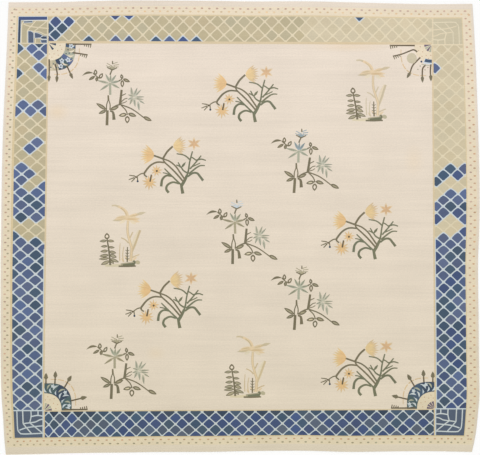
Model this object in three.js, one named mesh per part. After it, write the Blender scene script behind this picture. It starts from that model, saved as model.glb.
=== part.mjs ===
// A near-square kilim: a flat-woven rug without pile, in one piece, lying flat.
// Its two ends are woven off and turned under, and its two sides are selvedges, so nothing is sewn to it.
// On the loom it was a true rectangle. In use it has been pulled a little out of shape,
// so each edge stands in from that rectangle by a few centimetres, unevenly.
// Units are millimetres, +Z is up, and the origin is the centre of the underside.

import * as THREE from 'three';

// Driving dimensions
const WIDTH = 4270; // west selvedge to east selvedge, at the widest
const LENGTH = 4047; // south end to north end, at the longest
const THICKNESS = 3; // a heavy cotton flat weave
const STEPS_PER_SIDE = 44; // straight steps that follow each curved edge

// How far the two selvedges stand in from the rectangle, at shares of the length from south to north
const SELVEDGES = [
  { along: 0.00, west: 48, east: 68 },
  { along: 0.04, west: 33, east: 35 },
  { along: 0.08, west: 24, east: 17 },
  { along: 0.13, west: 9, east: 2 },
  { along: 0.20, west: 2, east: 6 },
  { along: 0.32, west: 0, east: 10 },
  { along: 0.42, west: 1, east: 14 },
  { along: 0.49, west: 6, east: 5 },
  { along: 0.57, west: 9, east: 0 },
  { along: 0.66, west: 16, east: 6 },
  { along: 0.76, west: 30, east: 18 },
  { along: 0.88, west: 53, east: 36 },
  { along: 1.00, west: 73, east: 64 },
];

// How far the two woven ends stand in from the rectangle, at shares of the width from west to east
const ENDS = [
  { along: 0.00, south: 0, north: 16 },
  { along: 0.10, south: 9, north: 14 },
  { along: 0.17, south: 15, north: 6 },
  { along: 0.25, south: 18, north: 0 },
  { along: 0.33, south: 24, north: 0 },
  { along: 0.44, south: 25, north: 3 },
  { along: 0.53, south: 32, north: 9 },
  { along: 0.64, south: 35, north: 8 },
  { along: 0.73, south: 25, north: 16 },
  { along: 0.82, south: 28, north: 25 },
  { along: 0.91, south: 30, north: 33 },
  { along: 1.00, south: 24, north: 30 },
];

// The four corners, where the last rows of the two tables meet
function corner(end, selvedge) {
  const row = selvedge === 'west' ? ENDS[0] : ENDS[ENDS.length - 1];
  const column = end === 'south' ? SELVEDGES[0] : SELVEDGES[SELVEDGES.length - 1];
  const across = WIDTH / 2 - column[selvedge];
  const up = LENGTH / 2 - row[end];
  return new THREE.Vector2(selvedge === 'west' ? -across : across, end === 'south' ? -up : up);
}

// A selvedge from its south corner to its north corner
function selvedgeCurve(selvedge) {
  const [from, to] = [corner('south', selvedge), corner('north', selvedge)];
  const side = selvedge === 'west' ? -1 : 1;
  const stations = SELVEDGES.map((row) => new THREE.Vector2(
    side * (WIDTH / 2 - row[selvedge]),
    THREE.MathUtils.lerp(from.y, to.y, row.along),
  ));
  return new THREE.SplineCurve(stations);
}

// A woven end from its west corner to its east corner
function endCurve(end) {
  const [from, to] = [corner(end, 'west'), corner(end, 'east')];
  const side = end === 'south' ? -1 : 1;
  const stations = ENDS.map((row) => new THREE.Vector2(
    THREE.MathUtils.lerp(from.x, to.x, row.along),
    side * (LENGTH / 2 - row[end]),
  ));
  return new THREE.SplineCurve(stations);
}

// The outline, anticlockwise from the south-west corner. Each side leaves its last point to the next side.
function outline() {
  const sides = [
    endCurve('south').getPoints(STEPS_PER_SIDE),
    selvedgeCurve('east').getPoints(STEPS_PER_SIDE),
    endCurve('north').getPoints(STEPS_PER_SIDE).reverse(),
    selvedgeCurve('west').getPoints(STEPS_PER_SIDE).reverse(),
  ];
  return new THREE.Shape(sides.flatMap((points) => points.slice(0, -1)));
}

// The woven sheet, with the middle of its underside at the origin
function kilim() {
  const sheet = new THREE.ExtrudeGeometry(outline(), { depth: THICKNESS, bevelEnabled: false });
  sheet.computeBoundingBox();
  const middle = sheet.boundingBox.getCenter(new THREE.Vector3());
  sheet.translate(-middle.x, -middle.y, 0);
  const cotton = new THREE.MeshStandardMaterial({ color: 0xe0d2ba, roughness: 0.95, metalness: 0 });
  const mesh = new THREE.Mesh(sheet, cotton);
  mesh.name = 'kilim';
  return mesh;
}

const rug = new THREE.Group();
rug.add(kilim());

export default rug;
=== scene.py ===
# %% [markdown]
# A flat-woven kilim, seen from straight above.
# The rug is one sheet of tapestry weave with no pile: wherever the pattern changes colour, the
# weaver has changed the weft yarn. So this lesson makes the pattern as areas of yarn in the mesh
# itself, as a weaver does from a chart, and leaves the threads to the material.
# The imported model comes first, because the sheet has to lie exactly in its outline.

# %% Load the frame
import math
import random

import bpy
import numpy as np
from mathutils.geometry import delaunay_2d_cdt
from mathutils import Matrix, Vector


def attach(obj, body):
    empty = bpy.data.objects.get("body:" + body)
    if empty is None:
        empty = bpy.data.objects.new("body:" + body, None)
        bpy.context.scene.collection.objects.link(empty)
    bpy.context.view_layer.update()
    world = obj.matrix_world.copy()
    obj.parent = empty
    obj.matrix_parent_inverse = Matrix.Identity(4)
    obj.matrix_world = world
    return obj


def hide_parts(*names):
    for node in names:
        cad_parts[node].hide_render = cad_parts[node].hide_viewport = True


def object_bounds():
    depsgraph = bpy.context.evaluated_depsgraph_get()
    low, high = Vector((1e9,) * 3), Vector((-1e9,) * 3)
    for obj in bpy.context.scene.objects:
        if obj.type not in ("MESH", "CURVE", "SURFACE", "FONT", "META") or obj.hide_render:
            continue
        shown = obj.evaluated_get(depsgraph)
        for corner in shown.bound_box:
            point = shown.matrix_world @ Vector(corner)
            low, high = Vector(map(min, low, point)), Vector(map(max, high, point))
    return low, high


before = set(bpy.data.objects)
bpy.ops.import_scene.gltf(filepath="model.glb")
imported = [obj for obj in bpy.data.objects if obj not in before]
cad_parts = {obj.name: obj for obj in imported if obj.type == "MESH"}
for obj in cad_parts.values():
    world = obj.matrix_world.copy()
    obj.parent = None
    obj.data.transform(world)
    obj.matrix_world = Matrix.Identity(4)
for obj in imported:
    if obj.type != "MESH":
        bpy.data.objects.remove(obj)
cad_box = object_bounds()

CM = 0.01
cad_low, cad_high = np.array(cad_box[0]), np.array(cad_box[1])
print("frame box", cad_low.round(4).tolist(), cad_high.round(4).tolist())

# %% [markdown]
# The outline. A hand-woven rug is never square: its sides bow and its ends drift. The solid already
# has that outline, so its corner points are read from its mesh. They could be typed in again, but
# then two files would have to agree. The corner of a side is the vertex that reaches furthest along
# a diagonal, and the points between two corners are that side.

# %% Read the four uneven sides
rug_points = np.array([v.co[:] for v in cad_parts["kilim"].data.vertices])
outline = np.unique((rug_points[:, :2] / CM).round(3), axis=0)
DIAGONALS = {"nw": (-1, 1), "ne": (1, 1), "se": (1, -1), "sw": (-1, -1)}
corners = {name: outline[np.argmax(outline @ way)] for name, way in DIAGONALS.items()}
SIDES = {  # first corner, last corner, axis along the side, direction outwards in degrees
    "west": ("sw", "nw", 1, 180),
    "east": ("se", "ne", 1, 0),
    "south": ("sw", "se", 0, 270),
    "north": ("nw", "ne", 0, 90),
}


def bearing(points, outwards):
    """Angles of points about the rug's middle, from the direction outwards."""
    turn = math.radians(outwards)
    ahead, left = (math.cos(turn), math.sin(turn)), (-math.sin(turn), math.cos(turn))
    return np.arctan2(points @ left, points @ ahead)


def side_points(first, last, axis, outwards):
    """The outline points from one corner to another, in order along the side."""
    ends = bearing(np.array([corners[first], corners[last]]), outwards)
    at = bearing(outline, outwards)
    found = outline[(at >= ends.min()) & (at <= ends.max())]
    return found[np.argsort(found[:, axis])]


sides = {name: side_points(*ends) for name, ends in SIDES.items()}
print("outline points", {name: len(points) for name, points in sides.items()})

# %% [markdown]
# The chart. A weaver works from a straight chart and the finished rug comes off the loom pulled out
# of square. The chart here is a rectangle in centimetres with the rug's centre at its origin. A short
# function pulls any point of it onto the real rug: the plain field keeps straight sides between four
# corners, and the border is stretched between the field and the uneven outline. The motifs could be
# drawn on the bowed rug itself, but a straight chart is easier to draw on and to mend.

# %% Chart sizes
HALF_WIDTH, HALF_LENGTH = (cad_high - cad_low)[:2] / CM / 2
# Lines of the border, in centimetres in from each side of the rug
BORDER = {
    "west": dict(dots=(3.9, 6.4), cord=8.8, trellis=10.8, trim=39.8, field=41.3),
    "east": dict(dots=(4.0, 7.5), cord=10.8, trellis=11.6, trim=39.8, field=41.3),
    "north": dict(dots=(6.6, 9.4), cord=12.2, trellis=13.2, trim=35.3, field=37.4),
    "south": dict(dots=(8.7, 12.0), cord=14.2, trellis=15.2, trim=39.4, field=40.4),
}
# Where the corners of the plain field lie on the finished rug
FIELD_CORNERS = {
    "nw": (-170.6, 164.2),
    "ne": (170.9, 162.9),
    "se": (173.4, -161.6),
    "sw": (-174.6, -163.2),
}


def box(line):
    """West, south, east and north of the chart at one line of the border."""
    west, east = -HALF_WIDTH + BORDER["west"][line], HALF_WIDTH - BORDER["east"][line]
    return west, -HALF_LENGTH + BORDER["south"][line], east, HALF_LENGTH - BORDER["north"][line]


FIELD = box("field")
print("chart", round(2 * HALF_WIDTH, 1), "x", round(2 * HALF_LENGTH, 1), "cm")
print("field", np.round(FIELD, 1).tolist())

# %% Pull the chart into shape
CHART_CORNERS = {name: np.array(way) * (HALF_WIDTH, HALF_LENGTH) for name, way in DIAGONALS.items()}
west, south, east, north = FIELD
field_chart = {"nw": (west, north), "ne": (east, north), "se": (east, south), "sw": (west, south)}
field_shift = {name: np.subtract(FIELD_CORNERS[name], field_chart[name]) for name in field_chart}


def side_shift(name, along):
    """How far the outline of one side lies from the straight edge of the chart."""
    first, last, axis, _ = SIDES[name]
    points = sides[name]
    half = (HALF_WIDTH, HALF_LENGTH)[axis]
    stations = (-half, FIELD[axis], FIELD[axis + 2], half)
    ends = corners[first][axis] + half, corners[last][axis] - half
    slides = (ends[0], field_shift[first][axis], field_shift[last][axis], ends[1])
    place = along + np.interp(along, stations, slides)
    across = np.interp(place, points[:, axis], points[:, 1 - axis])
    straight = CHART_CORNERS[first][1 - axis]
    shift = np.zeros((len(along), 2))
    shift[:, axis] = place - along
    shift[:, 1 - axis] = across - straight
    return shift


def pulled(points):
    """Chart points moved to where they lie on the finished rug."""
    points = np.asarray(points, float)
    x, y = points.T
    inner_x, inner_y = x.clip(west, east), y.clip(south, north)
    u = ((inner_x - west) / (east - west))[:, None]
    v = ((inner_y - south) / (north - south))[:, None]
    low = field_shift["sw"] * (1 - u) + field_shift["se"] * u
    high = field_shift["nw"] * (1 - u) + field_shift["ne"] * u
    field = low * (1 - v) + high * v
    a = np.where(x < west, (west - x) / (west + HALF_WIDTH), (x - east) / (HALF_WIDTH - east))
    b = np.where(y < south, (south - y) / (south + HALF_LENGTH), (y - north) / (HALF_LENGTH - north))
    a, b = a.clip(0, 1)[:, None], b.clip(0, 1)[:, None]
    to_left, to_foot = (x < 0)[:, None], (y < 0)[:, None]
    across = np.where(to_left, side_shift("west", y), side_shift("east", y))
    along = np.where(to_foot, side_shift("south", x), side_shift("north", x))
    at = {name: corners[name] - CHART_CORNERS[name] for name in corners}
    foot = np.where(to_left, at["sw"], at["se"])
    head = np.where(to_left, at["nw"], at["ne"])
    corner = np.where(to_foot, foot, head)
    return points + (1 - a) * (1 - b) * field + a * across + b * along - a * b * corner


print("north-west corner pulled to", pulled([CHART_CORNERS["nw"]]).round(1).tolist())

# %% [markdown]
# The yarns. Old vegetable dyes come out of the vat a little different each time, so a dye here is one
# colour of a card (red, green and blue from 0 to 255), and each area of yarn that is woven takes it
# from its own vat, with a small seeded difference. Each dye could be a material of its own, but a
# colour on the mesh lets one cloth keep one finish.

# %% Dyes
DYES = {
    "ivory": (231, 217, 204),
    "edge": (227, 214, 200),
    "guard": (230, 215, 192),
    "gold": (217, 198, 163),
    "trim": (217, 198, 167),
    "straw": (221, 208, 182),
    "pale": (203, 211, 220),
    "indigo": (74, 89, 130),
    "denim": (93, 106, 142),
    "dusk": (90, 101, 124),
    "slate": (76, 94, 118),
    "navy": (66, 78, 98),
    "sea": (82, 100, 106),
    "sage": (189, 177, 148),
    "dun": (194, 180, 151),
    "moss": (186, 176, 150),
    "fawn": (208, 195, 169),
    "oat": (204, 191, 164),
    "leaf": (120, 121, 100),
    "olive": (124, 116, 96),
    "bark": (108, 96, 78),
    "apricot": (227, 190, 143),
    "honey": (228, 200, 155),
    "blush": (216, 180, 144),
    "peach": (226, 203, 172),
    "tan": (216, 190, 155),
    "hay": (208, 187, 154),
    "haze": (205, 190, 164),
    "mist": (175, 176, 159),
    "dew": (191, 188, 172),
    "sky": (150, 166, 176),
    "rose": (198, 168, 152),
    "rust": (200, 165, 138),
    "lichen": (174, 165, 142),
    "shade": (134, 133, 120),
    "shell": (230, 215, 192),
    "plum": (112, 100, 118),
}
print(len(DYES), "dyes")

# %% A vat of yarn
VAT_SPREAD = 0.05
dyer = random.Random(11)


def linear(channel):
    """A colour card value from 0 to 1 as light."""
    return channel / 12.92 if channel <= 0.04045 else ((channel + 0.055) / 1.055) ** 2.4


def from_vat(dye, spread):
    """The dye's colour, a little lighter or darker and warmer or cooler than on the card."""
    shade = 1 + dyer.uniform(-spread, spread)
    warmth = dyer.uniform(-spread, spread) / 2
    red, green, blue = (linear(value / 255) for value in DYES[dye])
    return (red * shade * (1 + warmth), green * shade, blue * shade * (1 - warmth), 1.0)


print("vats differ by up to", VAT_SPREAD, "of their light")

# %% [markdown]
# Weaving areas. Each area is a closed outline on the chart and one vat of yarn, and a later area lies
# over an earlier one. The helpers below draw the few outlines that the whole pattern needs: a stem
# along a soft line, a leaf, a round, a box, and a copy of a motif set down at its foot. Curve objects
# could draw them too, but plain lists of points are quick to copy and to lay over each other.

# %% Areas of yarn
LONGEST_EDGE = 6.0
woven = []


def stepped(outline):
    """The outline with points added along its long edges, so that it can bow with the rug."""
    steps = []
    for p, q in zip(outline, np.roll(outline, -1, axis=0)):
        count = int(np.hypot(*(q - p)) / LONGEST_EDGE) + 1
        steps += [p + (q - p) * k / count for k in range(count)]
    return np.array(steps)


def weave(outline, dye, spread=VAT_SPREAD):
    """Adds one area of yarn, with its outline turned counter-clockwise."""
    outline = stepped(np.asarray(outline, float))
    x, y = outline.T
    if np.dot(x, np.roll(y, -1)) < np.dot(y, np.roll(x, -1)):
        outline = outline[::-1]
    woven.append((outline, from_vat(dye, spread)))


print("edges up to", LONGEST_EDGE, "cm")

# %% Lines, stems and leaves
LINE_STEPS, LEAF_STEPS = 5, 7
BASE_BIAS = 0.85


def soft_line(points):
    """A smooth line through a few drawn points."""
    points = np.asarray(points, float)
    ends = np.vstack([points[:1], points, points[-1:]])
    line = []
    for a, b, c, d in zip(ends, ends[1:], ends[2:], ends[3:]):
        for t in np.arange(LINE_STEPS) / LINE_STEPS:
            line.append(b + (c - a) / 2 * t + (a - 2.5 * b + 2 * c - d / 2) * t**2
                        + (1.5 * (b - c) + (d - a) / 2) * t**3)
    return np.array(line + [points[-1]])


def stem(points, width, tip=None):
    """A stem of even width along a soft line, or one that narrows to its tip."""
    line = soft_line(points) if len(points) > 2 else np.asarray(points, float)
    run = np.gradient(line, axis=0)
    run /= np.hypot(*run.T)[:, None]
    side = np.column_stack([-run[:, 1], run[:, 0]])
    half = np.linspace(width, width if tip is None else tip, len(line))[:, None] / 2
    return np.vstack([line + side * half, (line - side * half)[::-1]])


def leaf(base, tip, width, bend=0.0, blunt=1.0):
    """A leaf from base to tip, bowed sideways by bend, with rounder ends where blunt is below 1."""
    base, run = np.asarray(base, float), np.subtract(tip, base)
    side = np.array([-run[1], run[0]]) / np.hypot(*run)
    t = np.linspace(0, 1, LEAF_STEPS + 1)[:, None]
    rib = base + run * t + side * bend * np.sin(math.pi * t)
    half = side * width / 2 * np.sin(math.pi * t**BASE_BIAS).clip(0) ** blunt
    return np.vstack([rib + half, (rib - half)[-2:0:-1]])


print("a leaf has", len(leaf((0, 0), (9, 0), 2)), "points")

# %% Rounds, boxes and copies
MOTIF_HEIGHT = 50.0


def round_area(centre, across, tall, points, turn=0.0):
    """A round or oval area."""
    angle = np.arange(points) / points * 2 * math.pi
    x, y = np.cos(angle) * across / 2, np.sin(angle) * tall / 2
    c, s = math.cos(turn), math.sin(turn)
    return np.column_stack([centre[0] + x * c - y * s, centre[1] + x * s + y * c])


def rectangle(west, south, east, north):
    """A straight-sided area of the chart."""
    return np.array([(west, south), (east, south), (east, north), (west, north)])


def set_down(motif, foot, flip=(1, 1), lean=0.0):
    """Weaves a motif drawn about its own foot at a place on the chart, with its top moved by lean."""
    for outline, dye in motif:
        outline = np.asarray(outline)
        slant = np.column_stack([outline[:, 1] * lean / MOTIF_HEIGHT, np.zeros(len(outline))])
        weave((outline + slant) * flip + foot, dye)


print("motifs lean over", MOTIF_HEIGHT, "cm of height")

# %% [markdown]
# The grounds. From the outside in lie a plain edge, a guard stripe, a thin cord of gold, the trellis
# ground, a trim line and the plain field. Each could be a frame with a hole in it, but a later area
# hides an earlier one, so nested whole rectangles on the chart are enough.

# %% Weave the grounds
GUARD_MARGIN = 1.9
GROUNDS = {  # line of the border, yarn
    "edge": "edge",
    "guard": "guard",
    "cord": "gold",
    "trellis": "straw",
    "trim": "trim",
    "field": "ivory",
}
for plan in BORDER.values():
    plan.update(edge=0, guard=plan["dots"][0] - GUARD_MARGIN)
for line, dye in GROUNDS.items():
    weave(rectangle(*box(line)), dye, 0)
print("grounds", len(woven))

# %% [markdown]
# The guard stripe carries two staggered rows of small lozenges, one or two weft passes each. They are
# spaced by eye on the loom. An array modifier would set them too evenly, so they are placed in a
# loop, and a seeded hand moves each a little.

# %% Weave the dotted guard
hand = random.Random(7)
DOT_PITCH = {"west": 6.6, "east": 6.6, "north": 6.85, "south": 6.9}
DOT_LONG, DOT_TALL, DOT_SLIP = 2.5, 1.6, 0.3
DOT_POINTS, DOT_SPREAD = 6, 0.12
DOT_DYES = {
    "west": ("rose", "lichen"),
    "east": ("rust", "rose"),
    "north": ("rose", "tan"),
    "south": ("lichen", "rust"),
}


def along_side(side, along, depth):
    """A chart point from its place along a side and its depth in from that side."""
    places = {
        "west": (-HALF_WIDTH + depth, along),
        "east": (HALF_WIDTH - depth, along),
        "north": (along, HALF_LENGTH - depth),
        "south": (along, -HALF_LENGTH + depth),
    }
    return places[side]


def guard_dots(side):
    """Two staggered rows of lozenges along one side, corner to corner."""
    axis, pitch = SIDES[side][2], DOT_PITCH[side]
    first, last = (("west", "east"), ("south", "north"))[axis]
    half = (HALF_WIDTH, HALF_LENGTH)[axis]
    low, high = BORDER[first]["dots"][0] - half, half - BORDER[last]["dots"][0]
    count = int((high - low) / pitch)
    start = (low + high - (count - 1) * pitch) / 2
    for row, (depth, dye) in enumerate(zip(BORDER[side]["dots"], DOT_DYES[side])):
        for k in range(count):
            along = start + (k + row / 2) * pitch + hand.uniform(-DOT_SLIP, DOT_SLIP)
            centre = along_side(side, along, depth + hand.uniform(-DOT_SLIP, DOT_SLIP) / 2)
            weave(round_area(centre, DOT_LONG, DOT_TALL, DOT_POINTS), dye, DOT_SPREAD)


for side in BORDER:
    guard_dots(side)
print("areas with the dots", len(woven))

# %% [markdown]
# The trellis. Four bands of diamonds fill the border, two diamonds wide, and the pale lines between
# them are what is left of the ground. The dyer ran out of one colour again and again: the lower part
# is indigo, the upper part a faded sage with stray indigo diamonds. A band is woven half a row at a
# time, so its colours are charted one half row a word, with b for blue and g for green from
# the outer edge inwards. Half rows that the chart leaves out are all of one colour. The spacing of
# the two end bands wanders, and the blue diamonds lie on pale outlines, with a pale hem at the field.
# A texture could draw an even trellis, but not this one, so each diamond is an area of its own.

# %% Trellis charts
NEVER, ALWAYS = 99, -9
PLAN = ("step", "first", "middle", "across", "line", "bow", "blue_from", "fawn_from")
TRELLIS = {  # centimetres, then the half rows from which the yarn is blue or fawn
    "west": dict(zip(PLAN, (5.57, -0.7, 25.0, 14.0, 1.3, 0.42, 33, NEVER))),
    "east": dict(zip(PLAN, (5.64, -1.26, 25.6, 12.8, 1.2, 0.42, 31, ALWAYS))),
    "north": dict(zip(PLAN, (5.99, 0.1, 23.8, 11.8, 1.15, 0.1, NEVER, 38))),
    "south": dict(zip(PLAN, (5.81, 4.0, 26.9, 11.7, 1.0, 0.3, ALWAYS, NEVER))),
}
# How far the spacing of a band wanders, and where along it
DRIFT = {"north": (3.9, 2.3), "south": (-4.2, 0.55)}
# Whether even or odd half rows are two diamonds wide
PAIRED = {"west": 0, "south": 0, "east": 1, "north": 1}
BLUE_CELLS = {
    "west": {
        0: "gb", 1: "bbb", 2: "gb", 4: "gb", 5: "bgb", 10: "bb", 11: "bbb", 16: "gb", 17: "gbg",
        20: "bg", 21: "bbg", 22: "bg", 23: "bgb", 24: "bb", 25: "bbb", 26: "bb", 27: "bbb", 28: "bb",
        31: "bgg", 32: "bb",
    },
    "east": {
        4: "ggb", 20: "bbg", 21: "bb", 22: "ggb", 24: "bbg", 25: "bb", 26: "bbb", 27: "bb", 28: "bgb",
        30: "bgg",
    },
    "north": {
        0: "gbb", 1: "bb", 2: "gbg", 3: "bg", 6: "ggb", 10: "bgb", 12: "bgb", 16: "ggb", 18: "ggb",
        20: "ggb", 22: "ggb", 46: "bgg",
    },
    "south": {},
}
BLUES = {
    "west": ("denim", "denim", "denim", "slate"),
    "east": ("denim", "denim", "indigo", "slate"),
    "north": ("indigo", "denim", "slate"),
    "south": ("indigo", "indigo", "dusk", "slate"),
}
OTHERS = {
    "sage": ("sage", "sage", "dun", "moss"),
    "fawn": ("fawn", "fawn", "oat"),
    "edge": ("navy", "slate", "navy"),
}
print({side: len(rows) for side, rows in BLUE_CELLS.items()}, "half rows charted")

# %% One trellis diamond
CORNER_CUT = 0.1
FOOT_SHARE = 0.2


def clipped(outline, low, high, axis):
    """The part of an outline between two limits along one axis."""
    for limit, sign in ((low, 1), (high, -1)):
        kept = []
        for p, q in zip(outline, np.roll(outline, -1, axis=0)):
            a, b = (p[axis] - limit) * sign, (q[axis] - limit) * sign
            if a >= 0:
                kept.append(p)
            if a * b < 0:
                kept.append(p + (q - p) * a / (a - b))
        outline = np.array(kept)
        if len(outline) < 3:
            return None
    return outline


def diamond(knots, inset, rise):
    """A diamond between four knots, drawn in by inset, with soft corners and a bowed top."""
    knots = np.array(knots)
    centre = knots.mean(0)
    reach = np.hypot(*(knots - centre).T)
    inradius = reach[0] * reach[1] / math.hypot(reach[0], reach[1])
    knots = centre + (knots - centre) * (1 - inset / inradius)
    outline = []
    for p, q in zip(knots, np.roll(knots, -1, axis=0)):
        run = q - p
        middle = p + run / 2
        lift = rise if middle[1] > centre[1] else rise * FOOT_SHARE
        outline += [p + run * CORNER_CUT, middle + (0, lift), q - run * CORNER_CUT]
    return np.array(outline)


print("trellis lines", {side: plan["line"] for side, plan in TRELLIS.items()}, "cm")

# %% Lay out a trellis band
KNOT_SLIP = 0.35


def trellis_cells(side):
    """Every diamond of one band: its four knots, and the group of yarns it is woven from."""
    plan, rise = TRELLIS[side], SIDES[side][2] == 1
    low, high = (FIELD[1], FIELD[3]) if rise else (FIELD[0], FIELD[2])
    rows = int((high - low) / plan["step"]) + 3
    drift, lean = DRIFT.get(side, (0, 1))
    slip = {}

    def knot(row, column):
        if (row, column) not in slip:
            slip[row, column] = np.array([hand.uniform(-KNOT_SLIP, KNOT_SLIP) for _ in range(2)])
        share = min(max(row / rows, 0), 1)
        run = plan["first"] + row * plan["step"] + drift * math.sin(math.pi * share**lean)
        depth = plan["middle"] + column * plan["across"] / 2
        return np.array(along_side(side, high - run if rise else low + run, depth)) + slip[row, column]

    for row in range(-2, rows):
        columns = (-1, 1) if row % 2 == PAIRED[side] else (-2, 0, 2)
        word = BLUE_CELLS[side].get(row, "")
        for place, column in enumerate(columns):
            blue = row >= plan["blue_from"] or word[place:place + 1] == "b"
            group = "blue" if blue else "fawn" if row >= plan["fawn_from"] else "sage"
            if side == "south" and column == 2:
                group = "edge"
            around = ((row, column - 1), (row - 1, column), (row, column + 1), (row + 1, column))
            yield [knot(*at) for at in around], group


print("knots slip up to", KNOT_SLIP, "cm")

# %% Weave the four trellis bands
SLIVER = 1.2
HEM = 0.8
EVEN_SPREAD, UNEVEN_SPREAD = 0.03, 0.14


def weave_hem(side):
    """A pale line along the inner edge of the blue part of a band that runs up the rug."""
    plan, depth = TRELLIS[side], BORDER[side]["trim"]
    end = FIELD[3] - plan["first"] - plan["step"] * plan["blue_from"]
    first, last = along_side(side, FIELD[1], depth - HEM), along_side(side, end, depth)
    weave(rectangle(*np.minimum(first, last), *np.maximum(first, last)), "pale")


def weave_trellis(side):
    """Pale outlines under the blue diamonds first, then the diamonds themselves."""
    lines, axis, plan = BORDER[side], SIDES[side][2], TRELLIS[side]
    limits = [None, None]
    limits[axis] = (FIELD[0], FIELD[2]) if axis == 0 else (FIELD[1], FIELD[3])
    limits[1 - axis] = sorted(along_side(side, 0, lines[line])[1 - axis] for line in ("trellis", "trim"))
    cells = list(trellis_cells(side))
    yarns = {"blue": BLUES[side], **OTHERS}
    for inset, outlining in ((-plan["line"] / 4, True), (plan["line"] / 2, False)):
        for knots, group in cells:
            green = group in ("sage", "fawn")
            if outlining and green:
                continue
            area = diamond(knots, inset, plan["bow"])
            for way in (0, 1):
                area = clipped(area, *limits[way], way) if area is not None else None
            if area is None or np.ptp(area, axis=0).min() < SLIVER:
                continue
            dye = "pale" if outlining else hand.choice(yarns[group])
            weave(area, dye, EVEN_SPREAD if outlining or green else UNEVEN_SPREAD)


for side in TRELLIS:
    weave_trellis(side)
for side in ("west", "east"):
    weave_hem(side)
print("areas with the trellis", len(woven))

# %% [markdown]
# The corner squares. Where two bands meet, the weaver filled a square with a bracket and a paving of
# short lines. The lines are drawn once on a square of side 1, from the rug's corner at 0 to the
# field's corner at 1, and each corner takes them in its own yarns. Four drawings could stand there,
# but one keeps the corners alike, as on the loom. Only the stray blue in one of them is added.

# %% Lines of a corner square
PAVING = (
    [(0.11, 1.0), (0.11, 0.36), (0.17, 0.20), (0.30, 0.14), (1.0, 0.16)],
    [(0.30, 0.98), (0.30, 0.52)],
    [(0.57, 0.98), (0.57, 0.78), (0.52, 0.55)],
    [(0.80, 0.98), (0.80, 0.82)],
    [(0.57, 0.78), (0.79, 0.82), (1.0, 0.78)],
    [(0.30, 0.52), (0.52, 0.55), (0.71, 0.58), (0.86, 0.66), (1.0, 0.68)],
    [(0.17, 0.28), (0.46, 0.38), (1.0, 0.44)],
    [(0.52, 0.55), (0.71, 0.38), (0.93, 0.18)],
    [(0.30, 0.52), (0.43, 0.34), (0.57, 0.16)],
    [(0.0, 1.0), (1.0, 1.0)],
    [(0.965, 0.0), (0.965, 1.0)],
)
SQUARES = {  # ground, line and width of the line
    "nw": ("sage", "straw", 1.0),
    "ne": ("oat", "straw", 1.0),
    "se": ("dusk", "pale", 1.1),
    "sw": ("dusk", "pale", 1.15),
}
STRAY_BLUE = (  # yarn and outline of stray blue in the north-west square
    ("navy", [(0.0, 0.11), (0.075, 0.11), (0.075, 0.98), (0.0, 0.98)]),
    ("indigo", [(0.0, 0.0), (0.95, 0.0), (0.95, 0.115), (0.0, 0.125)]),
    ("navy", [(0.18, 0.175), (0.46, 0.165), (0.46, 0.21), (0.18, 0.22)]),
    ("dusk", [(0.33, 0.545), (0.42, 0.55), (0.50, 0.61), (0.51, 0.98), (0.34, 0.98)]),
    ("dusk", [(0.545, 0.60), (0.66, 0.63), (0.79, 0.70), (0.73, 0.78), (0.555, 0.80)]),
    ("navy", [(0.73, 0.79), (0.82, 0.735), (0.94, 0.74), (0.94, 0.83), (0.80, 0.83)]),
    ("dusk", [(0.74, 0.88), (0.94, 0.87), (0.94, 0.98), (0.77, 0.98)]),
)
print(len(PAVING), "lines and", len(STRAY_BLUE), "stray areas")

# %% Weave the corner squares
STRAY_RIM = 0.5


def square_place(corner, u, v):
    """A point of a corner square on the chart."""
    outer, inner = box("trellis"), FIELD
    west_side, south_side = corner in ("nw", "sw"), corner in ("sw", "se")
    x = (outer[0], inner[0]) if west_side else (outer[2], inner[2])
    y = (outer[1], inner[1]) if south_side else (outer[3], inner[3])
    return x[0] + (x[1] - x[0]) * u, y[0] + (y[1] - y[0]) * v


def on_square(corner, points):
    """Points of a square of side 1, set into one corner of the chart."""
    return np.array([square_place(corner, u, v) for u, v in points])


for corner, (ground, dye, width) in SQUARES.items():
    weave(on_square(corner, [(0, 0), (1, 0), (1, 1), (0, 1)]), ground)
    for line in PAVING:
        weave(stem(on_square(corner, line), width), dye)
    if dye == "pale":
        weave(stem(on_square(corner, [(1, 0), (1, 1)]), width), "trim")
for _, points in STRAY_BLUE:
    rim = on_square("nw", points)
    for p, q in zip(rim, np.roll(rim, -1, axis=0)):
        weave(stem([p, q], STRAY_RIM * 2), "pale")
for dye, points in STRAY_BLUE:
    weave(on_square("nw", points), dye)
print("areas with the corner squares", len(woven))

# %% [markdown]
# Flower heads. The flowers of the rings and sprays are all made of leaf-shaped petals around a centre
# or along a short base. They could be drawn petal by petal, but a loop needs only a centre, a reach
# and a count, so these helpers come before the pieces that carry flowers.

# %% Flower helpers
PETAL_LENGTHS = (1.0, 0.88, 0.95)
FAN_ROUNDING = 0.35
DEEP_REACH, DEEP_WIDTH = 0.74, 0.8


def flower(centre, reach, petals, dye, start, width, spread=360.0, base=0.0):
    """Petals in a ring, or in an open fan on a flat base when spread is less than a full turn."""
    parts = []
    gaps = petals if spread == 360 else petals - 1
    across = math.radians(start + spread / 2 + 90)
    for k in range(petals):
        angle, share = math.radians(start + spread * k / gaps), k / gaps - 0.5
        root = np.add(centre, np.array([math.cos(across), math.sin(across)]) * base * share)
        length = reach * PETAL_LENGTHS[k % 3] * (1 - FAN_ROUNDING * share**2 if base else 1)
        tip = root + np.array([math.cos(angle), math.sin(angle)]) * length
        parts.append((leaf(root, tip, width), dye))
    return parts


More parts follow.
